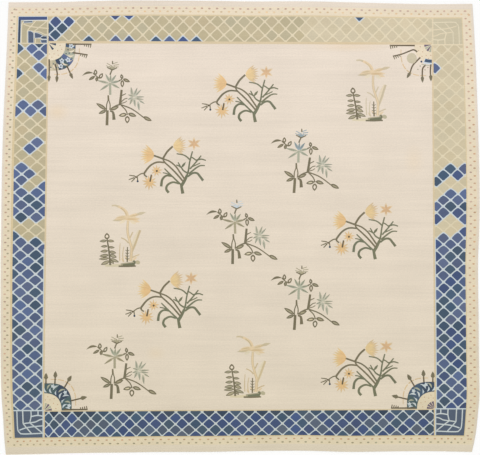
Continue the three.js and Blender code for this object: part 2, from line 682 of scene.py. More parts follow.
def soft_flower(centre, reach, petals, dyes, start, width, spread=360.0, base=0.0):
    """A flower with pale petal ends over which shorter and narrower petals are woven."""
    deep, narrow = reach * DEEP_REACH, width * DEEP_WIDTH
    parts = flower(centre, reach, petals, dyes[0], start, width, spread, base)
    return parts + flower(centre, deep, petals, dyes[1], start, narrow, spread, base)


print("petals reach", PETAL_LENGTHS, "of their length in turn")

# %% Leaf helpers
ROUNDNESS = 0.75
RIM_ENDS = 1.4
VEIN_START, VEIN_END, VEIN_TAPER = 0.3, 0.96, 0.7


def vein(base, tip, dye, width=0.5):
    """A thin line along the outer part of a petal."""
    base, run = np.array(base, float), np.subtract(tip, base)
    return stem([base + run * VEIN_START, base + run * VEIN_END], width, width * VEIN_TAPER), dye


def hollow_leaf(base, tip, width, heart="ivory", rim=1.15):
    """An olive leaf woven as an outline around a paler heart."""
    base, tip = np.array(base, float), np.array(tip, float)
    end = (tip - base) / np.hypot(*(tip - base)) * rim * RIM_ENDS
    inner = leaf(base + end, tip - end, width - 2 * rim, blunt=ROUNDNESS)
    return [(leaf(base, tip, width, blunt=ROUNDNESS), "olive"), (inner, heart)]


def table_of_stems(rows, dye=None):
    """Stems from rows of width, tip width, points and, where there is one, a yarn of their own."""
    return [(stem(points, width, tip), own[0] if own else dye) for width, tip, points, *own in rows]


def table_of_leaves(rows, dye=None):
    """Leaves from rows of width, base, tip and, where there is one, a yarn of their own."""
    return [(leaf(base, tip, width), own[0] if own else dye) for width, base, tip, *own in rows]


print("veins run from", VEIN_START, "to", VEIN_END, "of a petal")

# %% [markdown]
# The corner fans. A quarter ring sits in each corner of the field like a rising sun over a strip of
# grass, with a speckled peach ground inside it and budding stems outside. It is drawn once with the
# field's corner at the origin, bulging a little on the diagonal, and flipped into the four corners.
# The lower two are whole, and the upper two are woven in leftover yarns with gaps. A texture in polar
# coordinates could make the rings, but not their gaps and buds, so these are areas of yarn as well.

# %% Draw a corner fan
RING_INNER, RING_OUTER = 15.4, 24.3
BULGE = 0.13
BUD_LENGTH = 6.0
TICKS, TICK_GAP = 4, 1.8


def polar(angle, reach):
    """A point at an angle in degrees and a distance from the fan's corner."""
    turn = math.radians(angle)
    reach *= 1 + BULGE * (reach / RING_OUTER * math.sin(2 * turn)) ** 2
    return reach * math.cos(turn), reach * math.sin(turn)


def sector(start, end, inner, outer, steps=6):
    """Part of a ring between two angles."""
    angles = np.linspace(start, end, steps + 1)
    return [polar(a, outer) for a in angles] + [polar(a, inner) for a in angles[::-1]]


def tip_run(points):
    """The tip of a line of points, its direction there and the direction to its left."""
    tip, before = np.array(points[-1], float), np.array(points[-2], float)
    run = (tip - before) / np.hypot(*(tip - before))
    return tip, run, np.array([-run[1], run[0]])


def fan_bud(points, width):
    """A stem with a pointed bud at its end and a pair of whiskers below the bud."""
    tip, run, side = tip_run(points)
    neck = tip - BUD_LENGTH * run
    parts = [(stem(points[:-1] + (neck + run,), 1.35, 1.2), "bark"), (leaf(neck, tip, width), "olive")]
    for way in (-1, 1):
        end = neck + 2.2 * run + way * 0.6 * width * side
        parts.append((stem([neck - 0.4 * run, end], 0.7, 0.5), "olive"))
    return parts


def fan_twig(points, dye):
    """A twig that ends in a comb of short ticks on its outer side."""
    tip, run, side = tip_run(points)
    parts = [(stem(points, 1.4, 1.1), "bark")]
    for k in range(TICKS):
        foot = tip - (0.5 + TICK_GAP * k) * run
        end = foot - 0.6 * run + (3.2 - 0.4 * k) * side
        parts.append((stem([foot, end], 1.1, 0.7), dye))
    return parts


print("ring from", RING_INNER, "to", RING_OUTER, "cm")

# %% Fill the ring of a fan
SUN = 6.8
SCROLL_ANGLE = 8
RAYS = [(22.5 * k, 22.5 * k + 17) for k in range(4)]  # start and end angle
DASHES = [(9 + 12 * k, 19 + 12 * k) for k in range(6)]  # start and end angle
SPECKS = ((10, 10.5), (24, 12.8), (38, 10.2), (50, 13.2), (62, 10.6), (76, 12.6), (84, 9.6))


def ring_scrolls(start, end, dyes):
    """Crescent leaves leaning to and fro along part of the ring, with a small flower at every third."""
    parts = []
    count = round((end - start) / SCROLL_ANGLE)
    for k in range(count):
        angle, lean = start + (k + 0.5) * (end - start) / count, 4 if k % 2 else -4
        low, high = (0.8, 5.2) if k % 2 else (3.4, 8.2)
        root, tip = polar(angle - lean, RING_INNER + low), polar(angle + lean, RING_INNER + high)
        parts.append((leaf(root, tip, 1.5, 1.1), dyes[k % len(dyes)]))
        if k % 3 == 1:
            parts += flower(polar(angle, RING_INNER + 6.7), 2.1, 5, dyes[0], angle, 1.3)
    return parts


def corner_fan(ring, scrolls, buds, twigs, bud_width, sun, grass):
    """The whole fan, from the yarns of its ring, with None for a gap, and of its other pieces."""
    parts = [(sector(0, 90, 0.1, RING_INNER + 0.5), "shell")]
    span = 90 / len(ring)
    for k, dye in enumerate(ring):
        if dye:
            parts.append((sector(span * k, span * (k + 1), RING_INNER, RING_OUTER), dye))
            parts += ring_scrolls(span * k, span * (k + 1), scrolls)
    for angle, reach in SPECKS:
        parts.append((round_area(polar(angle, reach), 1.1, 1.0, 6), "rust"))
    for k, (start, end) in enumerate(RAYS):
        parts.append((sector(start, end, 1.0, SUN), sun[k % 2]))
    for start, end in DASHES:
        parts.append((sector(start, end, RING_OUTER + 2.9, RING_OUTER + 3.6, 3), "tan"))
    for points in buds:
        parts += fan_bud(points, bud_width)
    for points in twigs:
        parts += fan_twig(points, grass)
    return parts


print(len(RAYS), "rays,", len(DASHES), "dashes and", len(SPECKS), "specks to a fan")

# %% Weave the four fans
LOW_BUDS = (  # points from root to tip
    ((1.3, 23.8), (1.3, 33.6)),
    ((9.2, 23.8), (9.7, 35.2)),
    ((17.4, 20.0), (23.8, 31.2)),
    ((23.4, 8.6), (37.8, 12.0)),
)
WEST_BUDS = (
    ((0.7, 14.2), (0.9, 22.9), (0.7, 34.4)),
    ((6.1, 18.5), (8.0, 26.2), (7.7, 35.0)),
    ((16.4, 19.7), (19.2, 25.4), (22.2, 31.8)),
)
EAST_BUDS = (
    ((0.8, 16.8), (1.4, 23.4), (0.9, 33.0)),
    ((5.4, 18.0), (8.2, 21.2), (8.7, 26.7), (8.5, 34.2)),
    ((10.3, 11.4), (13.6, 14.7), (17.4, 19.0), (19.6, 25.0), (22.6, 30.2)),
)
LOW_TWIGS = (((17.0, 0.8), (28.0, 0.8), (38.4, 0.8)),)
WEST_TWIGS = (((16.4, 0.7), (28.0, 0.7), (38.6, 0.7)), ((22.4, 8.4), (28.6, 9.2), (35.2, 10.2)))
EAST_TWIGS = (
    ((15.2, 0.8), (26.0, 0.8), (37.8, 0.8)),
    ((13.1, 6.5), (16.3, 4.6), (20.6, 6.0), (27.2, 8.6), (35.0, 10.4)),
)
LOW_WEST_RING, LOW_EAST_RING = ("sea", "navy", "sea"), ("sea", "slate", "navy")
WEST_RING = ("slate", "lichen", "mist", "denim", "sea", "navy", "moss", "oat")
EAST_RING = (None,)
LOW_SCROLLS, WEST_SCROLLS = ("pale", "pale", "mist"), ("shell", "navy", "bark")
FANS = {  # way to flip, ring, scrolls, buds, twigs, bud width, sun, grass
    "sw": ((1, 1), LOW_WEST_RING, LOW_SCROLLS, LOW_BUDS, LOW_TWIGS, 3.1, ("plum", "mist"), "bark"),
    "se": ((-1, 1), LOW_EAST_RING, LOW_SCROLLS, LOW_BUDS, LOW_TWIGS, 3.1, ("plum", "plum"), "bark"),
    "nw": ((1, -1), WEST_RING, WEST_SCROLLS, WEST_BUDS, WEST_TWIGS, 2.5, ("navy", "shell"), "olive"),
    "ne": ((-1, -1), EAST_RING, LOW_SCROLLS, EAST_BUDS, EAST_TWIGS, 2.5, ("plum", "mist"), "olive"),
}
for corner, (flip, *yarns) in FANS.items():
    set_down(corner_fan(*yarns), field_chart[corner], flip)
print("areas with the fans", len(woven))

# %% Weave what is left of the north-east ring
LEFT_OVER = (  # outline from the fan's corner, yarn
    (round_area((18.0, 12.2), 9.2, 9.8, 12), "fawn"),
    (sector(64, 90, 13.2, 17.6), "pale"),
    (sector(66, 90, 13.4, 16.2), "slate"),
    (sector(62, 84, 18.3, 19.0), "mist"),
    (round_area((9.4, 15.2), 1.9, 2.0, 7), "navy"),
    (round_area((10.5, 19.2), 1.5, 1.5, 6), "mist"),
    (round_area((3.6, 20.4), 1.3, 1.3, 6), "lichen"),
    (round_area((6.2, 22.6), 1.3, 1.3, 6), "lichen"),
    (round_area((12.6, 22.2), 1.3, 1.3, 6), "lichen"),
)
set_down(LEFT_OVER, field_chart["ne"], (-1, -1))
print("scraps of ring", len(LEFT_OVER))

# %% Weave the small marks in the north-west ring
RING_FLOWERS = ((7, 20.4), (40, 21.0), (52, 18.4), (61, 21.6))  # angle and reach
RING_SPECKS = (
    (18, 18.0), (21, 22.4), (25, 19.6), (30, 17.4), (32, 22.8), (71, 21.8), (76, 18.6), (84, 21.4),
)
marks = []
for angle, reach in RING_FLOWERS:
    marks += flower(polar(angle, reach), 2.7, 5, "pale", angle, 1.7)
    marks.append((round_area(polar(angle, reach), 1.4, 1.4, 6), "navy"))
for angle, reach in RING_SPECKS:
    marks.append((round_area(polar(angle, reach), 1.5, 1.3, 6), "sea"))
set_down(marks, field_chart["nw"], (1, -1))
print("marks in the ring", len(marks))

# %% [markdown]
# The flower sprays. Thirteen sprays stand on the field in five loose rows, from three drawings: a
# spray with pale star flowers, a lily with apricot fans, and a small fir beside a peach bush. Such
# sprays are common in flat weaves. Each is drawn about its foot in centimetres with a short table
# of stems and leaves, and is then woven again wherever its kind stands.

# %% Stems and flowers of the lily
LILY_FLOWERS = (  # centre, reach, petals, pale and deep yarn, first angle, width, spread and base
    ((-25.6, 34.0), 13.2, 9, ("honey", "apricot"), 132, 2.2, 84, 2.0),
    ((-8.6, 42.3), 12.8, 9, ("tan", "honey"), -36, 2.2, 82, 2.0),
    ((9.9, 44.6), 6.8, 6, ("peach", "blush"), 30, 2.6),
    ((-23.4, 20.4), 5.6, 9, ("tan", "apricot"), 10, 1.5),
    ((-29.6, 10.0), 7.4, 11, ("tan", "apricot"), -30, 1.7),
)
LILY_STEMS = (  # width, tip width, points from the foot
    (2.9, 2.3, [(0.2, 0), (-0.6, 3.8), (-1.3, 7.8)]),
    (3.0, 2.4, [(-1.2, 7.0), (1.4, 11.2), (4.0, 16.6)]),
    (1.7, 1.2, [(3.6, 15.4), (5.1, 21.0), (6.2, 28.6), (8.6, 37.8)]),
)
LILY_BRANCHES = (
    (1.5, 1.3, [(2.0, 12.4), (-2.6, 19.2), (-6.4, 24.4), (-11.8, 28.8), (-17.8, 31.1)]),
    (1.6, 1.3, [(0.4, 10.8), (-5.6, 17.8), (-11.0, 23.2), (-16.2, 28.0), (-17.8, 31.1)]),
    (1.4, 1.8, [(-15.6, 27.6), (-23.0, 28.0), (-29.2, 24.8), (-34.2, 18.6)]),
    (1.7, 1.2, [(-34.0, 19.0), (-34.2, 16.8), (-31.8, 14.8)]),
    (1.6, 1.5, [(-17.8, 31.1), (-22.0, 32.6), (-26.0, 34.0)]),
    (1.8, 1.7, [(-17.8, 31.1), (-14.0, 37.4), (-9.0, 42.2)]),
    (1.2, 1.0, [(-34.2, 18.2), (-37.4, 17.6), (-40.8, 15.4)]),
)
LILY_LEAVES = (
    (1.6, 1.1, [(-1.6, 8.0), (-10.2, 16.2), (-16.4, 22.4)]),
    (1.3, 0.9, [(-9.6, 15.6), (-14.0, 17.8), (-17.8, 18.6)]),
    (1.4, 2.4, [(-9.6, 15.4), (-14.6, 16.0), (-18.2, 12.6), (-19.2, 6.4)]),
    (1.5, 2.4, [(-3.4, 8.8), (-8.6, 10.2), (-13.4, 7.8), (-14.6, 4.0), (-12.4, 0.8)]),
    (1.6, 2.3, [(4.6, 15.2), (8.8, 18.2), (12.8, 18.2), (15.8, 14.8), (18.2, 11.6)]),
    (1.7, 1.0, [(5.4, 17.6), (12.0, 23.0), (15.8, 25.0), (19.8, 25.0)]),
    (1.5, 1.1, [(6.4, 22.0), (12.0, 28.4), (16.4, 34.0)]),
    (1.5, 1.0, [(11.4, 29.6), (16.4, 30.8), (20.6, 29.6)]),
    (1.2, 1.1, [(6.6, 33.0), (9.4, 31.6), (12.0, 29.6)]),
    (1.4, 1.0, [(6.2, 30.4), (1.4, 34.2), (-5.6, 35.6)]),
    (1.5, 1.2, [(3.8, 18.6), (0.4, 20.8), (-1.6, 24.0)]),
    (1.5, 1.0, [(-0.8, 23.0), (-3.2, 24.6), (-5.8, 25.6)]),
    (1.3, 1.0, [(-2.2, 24.2), (-3.2, 26.0), (-4.2, 28.0)]),
    (1.2, 0.9, [(8.2, 24.0), (12.0, 25.6), (15.6, 27.4)]),
)
LILY_TWIGS = (  # width, tip width, points from the foot, yarn
    (1.1, 0.8, [(-42.6, 15.6), (-47.8, 16.4)], "olive"),
    (1.1, 0.8, [(-43.0, 14.4), (-48.2, 12.4)], "olive"),
    (1.1, 0.8, [(-42.6, 13.8), (-45.8, 10.4)], "olive"),
    (1.0, 1.0, [(-40.6, 15.2), (-40.2, 11.6)], "olive"),
    (1.2, 1.5, [(-28.0, 17.0), (-29.2, 10.6)], "bark"),
)
LILY_SPOTS = (((-41.8, 14.8), "bark"), ((-40.2, 11.0), "navy"), ((-23.2, 20.2), "bark"))
print("lily:", len(LILY_FLOWERS), "flowers,", len(LILY_LEAVES), "leaves")

# %% Draw the lily spray
def lily_spray():
    """The apricot lily: two fans, a star, two daisies and a forked bud on arching green stems."""
    parts = []
    for row in LILY_FLOWERS:
        parts += soft_flower(*row)
    parts += table_of_stems(LILY_STEMS, "leaf") + table_of_stems(LILY_BRANCHES, "olive")
    parts += table_of_stems(LILY_LEAVES, "leaf")
    parts.append((leaf((-1.2, 23.2), (2.6, 28.2), 2.1), "leaf"))
    parts += table_of_stems(LILY_TWIGS)
    return parts + [(round_area(place, 2.0, 2.0, 7), dye) for place, dye in LILY_SPOTS]


print("lily of", len(lily_spray()), "areas")

# %% Stalks and leaves of the star-flower spray
STAR_STALKS = (  # width, tip width, points from the foot
    (2.5, 2.3, [(0, 0), (0.2, 6.4), (0.3, 13.4)]),
    (1.1, 0.9, [(-0.5, 13.0), (-0.4, 18.4), (1.0, 22.8)]),
    (1.1, 0.9, [(2.5, 13.8), (2.7, 18.4), (1.4, 22.8)]),
    (1.7, 1.4, [(1.2, 22.2), (0.9, 26.8)]),
    (1.4, 1.3, [(2.8, 14.0), (7.4, 17.2), (12.0, 18.8)]),
    (2.3, 1.9, [(11.4, 18.2), (12.2, 25.0), (12.9, 31.8)]),
    (1.2, 1.0, [(11.4, 18.8), (20.2, 15.6), (26.0, 12.2), (33.2, 6.8)]),
    (1.1, 1.0, [(12.4, 18.0), (16.6, 13.8), (18.4, 9.4)]),
    (1.0, 0.7, [(12.8, 26.4), (16.8, 28.4)]),
    (1.0, 0.7, [(12.6, 20.8), (15.4, 23.4), (18.2, 24.2)]),
    (0.9, 0.6, [(12.6, 19.6), (16.0, 20.6), (17.8, 22.0)]),
    (1.3, 1.2, [(2.4, 45.0), (3.2, 47.4), (4.3, 49.8)]),
    (1.2, 0.8, [(-12.8, 46.4), (-9.8, 43.8), (-6.8, 41.8)]),
    (1.0, 0.9, [(10.2, 39.8), (13.2, 41.2)]),
)
HOLLOW_LEAVES = (  # width, base, tip, yarn of the heart
    (3.3, (-0.6, 14.0), (-9.9, 19.8), "lichen"),
    (3.0, (-0.6, 13.4), (-7.6, 10.4), "lichen"),
    (3.5, (3.0, 14.2), (10.6, 16.8), "lichen"),
    (3.5, (17.8, 10.0), (10.4, 8.6), "straw"),
    (3.5, (18.8, 10.6), (26.4, 8.2), "lichen"),
    (4.4, (18.2, 8.6), (18.2, 1.8), "ivory"),
    (3.4, (32.4, 7.8), (40.2, 4.0), "lichen"),
    (3.4, (-10.6, 44.6), (-10.8, 50.0), "ivory"),
    (3.4, (-7.2, 41.6), (-4.2, 46.6), "ivory"),
    (2.6, (-11.0, 43.8), (-16.8, 40.4), "lichen"),
    (2.9, (-9.2, 43.2), (-9.8, 39.0), "lichen"),
    (2.9, (13.4, 41.2), (12.4, 45.8), "ivory"),
    (3.1, (14.0, 41.4), (20.4, 38.8), "lichen"),
    (3.4, (13.4, 40.6), (13.5, 33.8), "ivory"),
)
print("star spray:", len(STAR_STALKS), "stalks,", len(HOLLOW_LEAVES), "hollow leaves")

# %% Petals of the star-flower spray
STAR_TOP = (  # width, base, tip
    (2.3, (2.6, 38.2), (-1.8, 46.0)), (1.9, (2.6, 38.4), (3.0, 45.4)), (2.3, (3.0, 38.2), (8.0, 45.2)),
)
STAR_PETALS = (
    (2.2, (3.0, 37.8), (12.0, 39.8)), (2.2, (3.0, 37.4), (11.4, 33.0)),
    (2.2, (2.2, 37.4), (-9.8, 40.2)), (2.2, (2.2, 37.0), (-6.8, 31.0)),
)
PLUME = (
    (2.7, (22.8, 25.2), (21.2, 34.4)), (2.3, (23.6, 25.6), (27.0, 33.8)),
    (2.1, (24.4, 25.6), (30.4, 32.0)), (1.8, (24.0, 25.2), (33.4, 25.6)),
    (1.7, (24.0, 24.0), (32.8, 23.2)), (2.5, (23.2, 25.4), (20.2, 18.4)),
    (2.6, (24.0, 25.0), (25.2, 16.4)), (2.5, (27.6, 21.8), (28.8, 13.2)),
    (1.8, (28.0, 22.8), (33.6, 19.4)), (2.3, (24.6, 25.6), (18.6, 27.4)),
    (2.2, (23.4, 25.2), (18.4, 23.0)),
)
BUD_PETALS = ((125, 4.6), (95, 4.4), (60, 4.2))  # angle, reach
BUD_WHISKERS = (  # root, tip
    ((3.6, 51.4), (-1.2, 53.2)), ((3.8, 53.0), (-0.6, 55.4)),
    ((5.4, 52.0), (10.0, 52.2)), ((5.4, 53.6), (10.4, 54.2)), ((5.2, 55.0), (9.0, 56.4)),
)
BUD_CUP = (
    ((4.3, 49.4), (-0.4, 51.8)), ((4.3, 49.4), (8.6, 51.4)), ((4.6, 54.6), (4.5, 57.6)),
)
print("star spray:", len(STAR_TOP + STAR_PETALS), "petals,", len(PLUME), "in the plume")

# %% Draw the star-flower spray
def star_spray(petals, top, bud, plume, veins):
    """The star-flower spray: a thick stalk, hollow leaves, a pale star, a plume and a bud on top."""
    parts = table_of_leaves(STAR_PETALS, petals) + table_of_leaves(STAR_TOP, top)
    parts += [vein(base, tip, veins) for _, base, tip in STAR_TOP + STAR_PETALS]
    parts.append((stem([(2.7, 27.2), (2.5, 38.0)], 2.1), petals))
    parts += table_of_leaves(PLUME, plume)
    parts += [vein(base, tip, "shade", 0.6) for _, base, tip in PLUME]
    for angle, reach in BUD_PETALS:
        turn = math.radians(angle)
        tip = 4.3 + reach * math.cos(turn), 49.4 + reach * math.sin(turn)
        parts.append((leaf((4.3, 49.2), tip, 2.2), bud))
    parts += [(stem(ends, 0.8, 0.7), bud) for ends in BUD_WHISKERS]
    parts += [(stem(ends, 1.2, 0.9), "olive") for ends in BUD_CUP]
    parts += table_of_stems(STAR_STALKS, "olive")
    for width, base, tip, heart in HOLLOW_LEAVES:
        parts += hollow_leaf(base, tip, width, heart)
    parts.append((leaf((-12.6, 46.6), (-22.8, 44.0), 2.1, -1.6), "olive"))
    parts.append((stem([(2.6, 13.0), (5.4, 11.4), (6.3, 5.0)], 1.2, 3.0), "olive"))
    return parts


print("star spray of", len(star_spray("mist", "mist", "mist", "mist", "olive")), "areas")

# %% Leaves of the fir and stems of the bush
FIR_LEAVES = (  # width, base, tip
    (2.6, (-3.6, 20.8), (-10.2, 20.3)), (2.3, (-3.0, 16.0), (-9.0, 15.6)),
    (2.7, (-2.4, 11.8), (-9.4, 11.2)), (3.0, (-1.8, 8.0), (-10.2, 7.0)),
    (2.6, (-1.4, 5.2), (-10.8, 4.4)), (3.2, (-0.8, 2.8), (-8.8, -0.6)),
    (2.5, (-3.0, 20.8), (3.2, 20.3)), (2.2, (-2.4, 15.2), (3.4, 14.6)),
    (2.9, (-1.6, 11.2), (4.9, 9.8)), (3.3, (-1.0, 8.4), (5.3, 5.9)),
    (2.9, (-0.6, 4.8), (7.4, 1.6)), (2.2, (-0.6, 3.4), (3.0, 0.2)),
)
BUSH_STEMS = (  # width, tip width, points from the foot of the fir
    (2.7, 2.3, [(17.7, 2.4), (18.3, 9.0), (18.7, 15.4)]),
    (2.3, 2.0, [(18.5, 14.4), (16.5, 21.2), (15.1, 26.6), (14.7, 32.0), (15.1, 38.4)]),
    (1.6, 1.9, [(18.9, 11.0), (22.6, 20.6), (26.0, 30.2)]),
    (1.2, 1.0, [(16.4, 22.4), (18.0, 25.6), (19.4, 28.6)]),
    (1.2, 0.9, [(15.8, 18.6), (12.8, 21.6), (9.0, 23.4)]),
    (1.2, 0.9, [(18.6, 5.4), (22.0, 7.2), (25.4, 8.4)]),
    (0.9, 0.6, [(8.0, 3.0), (7.8, 11.0), (8.2, 18.6)]),
    (0.9, 0.6, [(11.2, 2.0), (10.6, 9.0), (11.6, 15.6)]),
)
print("fir:", len(FIR_LEAVES), "leaves, bush:", len(BUSH_STEMS), "stems")

# %% Crown of the bush and the ground
CROWN_LEAVES = (  # width, base, tip, yarn
    (2.8, (14.0, 40.4), (0.8, 38.6), "haze"),
    (2.6, (15.0, 42.4), (4.0, 41.4), "peach"),
    (3.0, (14.0, 41.6), (27.6, 45.4), "peach"),
    (2.6, (22.0, 44.0), (31.0, 46.2), "haze"),
    (4.2, (10.0, 40.6), (26.4, 40.2), "peach"),
    (3.4, (15.0, 41.0), (2.6, 39.9), "peach"),
    (3.0, (15.4, 39.8), (26.0, 37.4), "peach"),
    (2.6, (13.0, 39.4), (7.2, 36.0), "shell"),
    (2.8, (16.6, 39.2), (22.4, 35.4), "shell"),
    (0.9, (13.0, 40.4), (2.4, 38.8), "hay"),
    (0.9, (12.4, 42.2), (5.0, 41.2), "hay"),
    (0.9, (16.0, 42.0), (26.0, 44.6), "hay"),
    (1.7, (12.6, 40.0), (24.2, 40.0), "tan"),
    (4.6, (18.8, 11.0), (24.6, 31.2), "shell"),
    (1.8, (16.4, 3.0), (12.0, 7.0), "peach"),
    (1.8, (19.2, 3.2), (23.6, 6.4), "peach"),
    (1.6, (12.0, 1.4), (9.4, 5.4), "peach"),
)
GROUND_AREAS = (  # width at both ends, points and yarn
    (2.4, 2.4, [(-5.0, -1.0), (2.0, -1.3), (9.4, -1.1)], "straw"),
    (2.2, 3.0, [(9.0, -0.6), (14.0, 0.0), (20.6, 0.4)], "lichen"),
    (1.2, 2.6, [(10.6, -0.8), (15.0, -0.5), (21.4, 0.0)], "leaf"),
    (1.5, 1.2, [(7.0, -1.9), (14.0, -2.1), (22.4, -1.8)], "olive"),
)
CROWN_STEMS = (  # width, tip width, points, yarn
    (3.2, 2.0, [(14.8, 40.6), (13.4, 46.0), (10.0, 49.4), (5.6, 51.6)], "peach"),
    (1.0, 0.9, [(13.8, 43.4), (11.6, 47.4), (8.4, 50.0)], "hay"),
    (1.8, 1.2, [(6.4, 51.2), (3.6, 52.2), (0.4, 52.0)], "haze"),
)
STONES = (  # centre, across, tall, points, turn, yarn
    ((24.0, 1.5), 4.4, 3.6, 9, -0.4, "moss"),
    ((20.9, 1.6), 3.4, 4.0, 9, 0.3, "lichen"),
    ((20.8, 1.5), 2.5, 3.2, 8, 0.3, "leaf"),
)
print("bush:", len(CROWN_LEAVES), "leaves, ground:", len(GROUND_AREAS) + len(STONES), "areas")

# %% Draw the fir and bush
def fir_and_bush(trunk):
    """A small dark fir, a pale bush and sapling beside it, on a strip of ground."""
    parts = table_of_leaves(CROWN_LEAVES) + table_of_stems(CROWN_STEMS)
    parts += table_of_stems(BUSH_STEMS, trunk)
    parts += [(stem(points, width / 2, tip / 2), "peach") for width, tip, points in BUSH_STEMS[:2]]
    parts += [(round_area(*oval), dye) for *oval, dye in STONES]
    parts += table_of_stems(GROUND_AREAS)
    parts.append((stem([(-0.4, -1.0), (-1.5, 10.2), (-3.4, 22.2)], 1.8, 1.2), "olive"))
    parts += hollow_leaf((-3.4, 21.8), (-3.7, 27.8), 4.7)
    for width, base, tip in FIR_LEAVES:
        parts += hollow_leaf(base, tip, width, "lichen", 0.7)
    parts.append((stem([(14.7, 1.8), (14.6, 8.4), (14.8, 15.2)], 1.3, 0.9), "olive"))
    for k in range(4):
        for way in (-1, 1):
            root, tip = (14.7, 4.0 + 2.5 * k), (14.7 + 1.8 * way, 5.0 + 2.5 * k)
            parts.append((stem([root, tip], 0.6, 0.5), "olive"))
    return parts


print("fir and bush of", len(fir_and_bush("hay")), "areas")

# %% Weave the sprays in their rows
# Place from the rug's centre, lean, and yarns of the petals, top petals, bud, plume and veins
STAR_FEET = (
    ((-119.1, 92.0), 0.0, "mist", "mist", "lichen", "dew", "shade"),
    ((48.3, 31.8), 2.2, "mist", "sky", "sky", "dew", "shade"),
    ((-6.3, -31.8), -0.8, "lichen", "mist", "pale", "dew", "olive"),
    ((48.5, -90.8), 2.0, "mist", "mist", "lichen", "dew", "olive"),
    ((-113.2, -151.9), 0.4, "lichen", "mist", "lichen", "dew", "olive"),
)
LILY_FEET = ((13.6, 95.2), (-51.0, 31.2), (120.4, -27.6), (-53.0, -88.9), (120.0, -150.4))
FIR_FEET = (  # place from the rug's centre, lean and yarn of the bush
    ((105.5, 98.7), -1.5, "haze"),
    ((-114.6, -31.6), 0.0, "hay"),
    ((-3.2, -148.8), 0.0, "hay"),
)
for foot, lean, *yarns in STAR_FEET:
    set_down(star_spray(*yarns), foot, lean=lean)
for foot in LILY_FEET:
    set_down(lily_spray(), foot)
for foot, lean, trunk in FIR_FEET:
    set_down(fir_and_bush(trunk), foot, lean=lean)
print("areas in all", len(woven))

# %% [markdown]
# Laying it down. The rug lies on a floor, so its underside stays on it but for a few millimetres of
# ripple near the edges, where a flat weave never lies quite dead. A flat weave has the same areas of
# yarn on both faces, so the underside is the face again, turned over. The two meet along the edge in
# one row of points, and rings of points just inside it round the rim, as doubled edge warps do.

# %% Rings of points that round the rim
RIM_RINGS = (0.03, 0.1, 0.25)
RIM_STEP = 2.0
RIM_REACH = RIM_RINGS[-1]
THICKNESS = cad_high[2] - cad_low[2]
RIPPLE = 0.0022
RIPPLE_REACH = 45.0


def to_edge(points):
    """How far chart points lie in from the edge of the rug."""
    return np.minimum(HALF_WIDTH - np.abs(points[:, 0]), HALF_LENGTH - np.abs(points[:, 1])).clip(0)


def ripple(points):
    """How far the cloth stands off the floor, in metres: shallow waves that die out into the field."""
    x, y = points.T
    wave = np.sin(x / 23.0 + 0.8 * np.sin(y / 41.0)) * np.sin(y / 27.0 + 0.6 * np.sin(x / 37.0))
    return RIPPLE * np.exp(-to_edge(points) / RIPPLE_REACH) * (1 + wave) / 2


def rim_half(points):
    """Half the cloth's thickness, which falls off in a quarter round to nothing at the edge."""
    inwards = (to_edge(points) / RIM_REACH).clip(0, 1)
    return THICKNESS / 2 * np.sqrt(1 - (1 - inwards) ** 2)


print("cloth", round(THICKNESS * 1000, 2), "mm thick")

# %% [markdown]
# The sheet. A constrained triangulation cuts the chart along every outline at once and says which
# areas each triangle lies in, and the topmost area gives its yarn. A mesh of loose shapes lying on
# each other would show steps and gaps, and this gives one whole cloth. Extra points on a grid let
# the cloth follow the bowed outline and lie in very shallow waves.

# %% Cut the chart into areas of yarn
GRID = 8.0
MERGE = 1e-3
EDGE = 1e-6
columns, rows = int(2 * HALF_WIDTH / GRID), int(2 * HALF_LENGTH / GRID)
chart_points, areas = [], []
for outline_points, _ in woven:
    areas.append(list(range(len(chart_points), len(chart_points) + len(outline_points))))
    chart_points += [tuple(p) for p in outline_points]
ring_edges = []
for inset in RIM_RINGS:
    wide, long = HALF_WIDTH - inset, HALF_LENGTH - inset
    across, up = np.arange(-wide, wide, RIM_STEP), np.arange(-long, long, RIM_STEP)
    ring = [(x, -long) for x in across] + [(wide, y) for y in up]
    ring += [(-x, long) for x in across] + [(-wide, -y) for y in up]
    first = len(chart_points)
    ring_edges += [(first + k, first + (k + 1) % len(ring)) for k in range(len(ring))]
    chart_points += ring
for x in np.linspace(-HALF_WIDTH, HALF_WIDTH, columns + 1)[1:-1]:
    chart_points += [(x, y) for y in np.linspace(-HALF_LENGTH, HALF_LENGTH, rows + 1)[1:-1]]
found = delaunay_2d_cdt(chart_points, ring_edges, areas, 0, MERGE, True)
cloth_points, cloth_faces = np.array([p[:] for p in found[0]]), np.array(found[2])
face_areas = found[5]
print(len(chart_points), "points drawn,", len(cloth_points), "cut,", len(cloth_faces), "triangles")

# %% Make the cloth
on_edge = to_edge(cloth_points) < EDGE * HALF_WIDTH
flat = pulled(cloth_points) * CM
level = ripple(cloth_points) + cad_low[2] + THICKNESS / 2
half = np.where(on_edge, 0, rim_half(cloth_points))
face_side = np.column_stack([flat, level + half])
under_side = np.column_stack([flat, level - half])
under_index = np.where(on_edge, np.arange(len(flat)), len(flat) + np.cumsum(~on_edge) - 1)
mesh = bpy.data.meshes.new("kilim_cloth")
all_points = np.vstack([face_side, under_side[~on_edge]])
all_faces = np.vstack([cloth_faces, under_index[cloth_faces][:, ::-1]])
mesh.from_pydata(all_points.tolist(), [], all_faces.tolist())
tops = [max(ids) for ids in face_areas]
colours = np.repeat([woven[top][1] for top in tops], 3, axis=0)
dye_layer = mesh.attributes.new("dye", "FLOAT_COLOR", "CORNER")
dye_layer.data.foreach_set("color", np.vstack([colours, colours]).ravel())
kilim = bpy.data.objects.new("kilim_cloth", mesh)
bpy.context.collection.objects.link(kilim)
bpy.ops.object.select_all(action="DESELECT")
kilim.select_set(True)
bpy.context.view_layer.objects.active = kilim
bpy.ops.object.shade_smooth()
heights = all_points[:, 2] * 1000
print("cloth", len(all_faces), "triangles")
